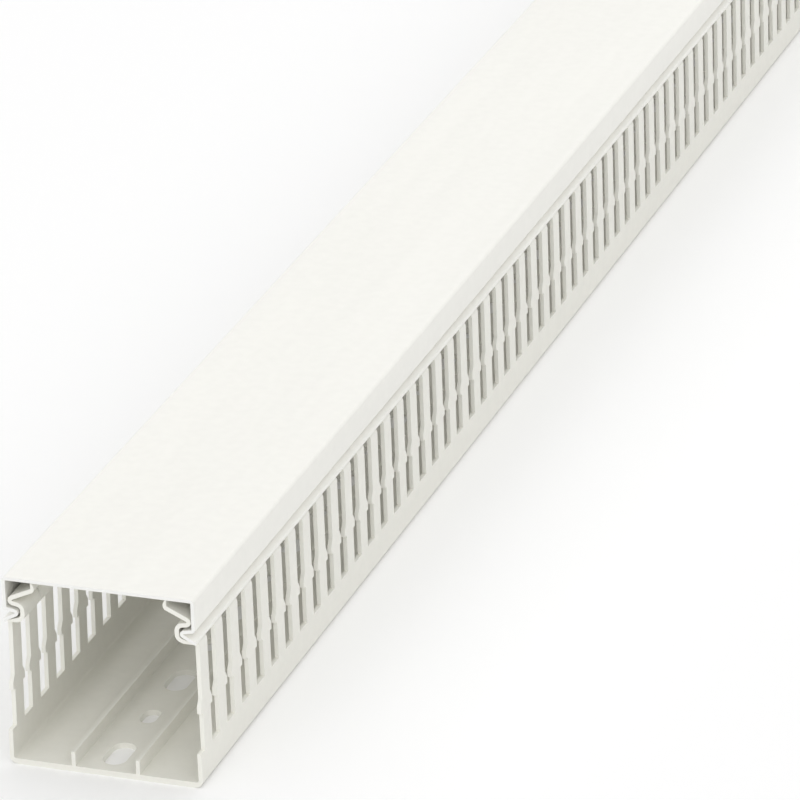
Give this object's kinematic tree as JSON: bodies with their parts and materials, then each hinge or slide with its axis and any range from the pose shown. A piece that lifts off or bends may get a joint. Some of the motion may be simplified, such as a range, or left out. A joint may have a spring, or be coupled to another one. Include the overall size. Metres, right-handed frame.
{
  "type": "slotted wire duct",
  "caption": "Slotted cable duct: finger-wall trough with floor ribs and a row of long and short mounting holes, closed by a clip-on cover that slides along it.",
  "frame": {"origin": "middle of the underside of the floor, half way along the duct", "axes": "+Y along the duct, +Z from the floor towards the cover, X across"},
  "size_m": [0.06, 1, 0.06],
  "materials": {
    "trough_pvc": "extruded rigid PVC, satin, off-white grey",
    "cover_pvc": "extruded rigid PVC, satin, off-white"
  },
  "bodies": {
    "trough": {"trough": "trough_pvc"},
    "cover": {"cover": "cover_pvc"}
  },
  "joints": [
    {"name": "cover_slide", "type": "slide", "parent": "trough", "child": "cover", "axis": [0, 1, 0], "range_m": [-0.95, 0.95]}
  ]
}
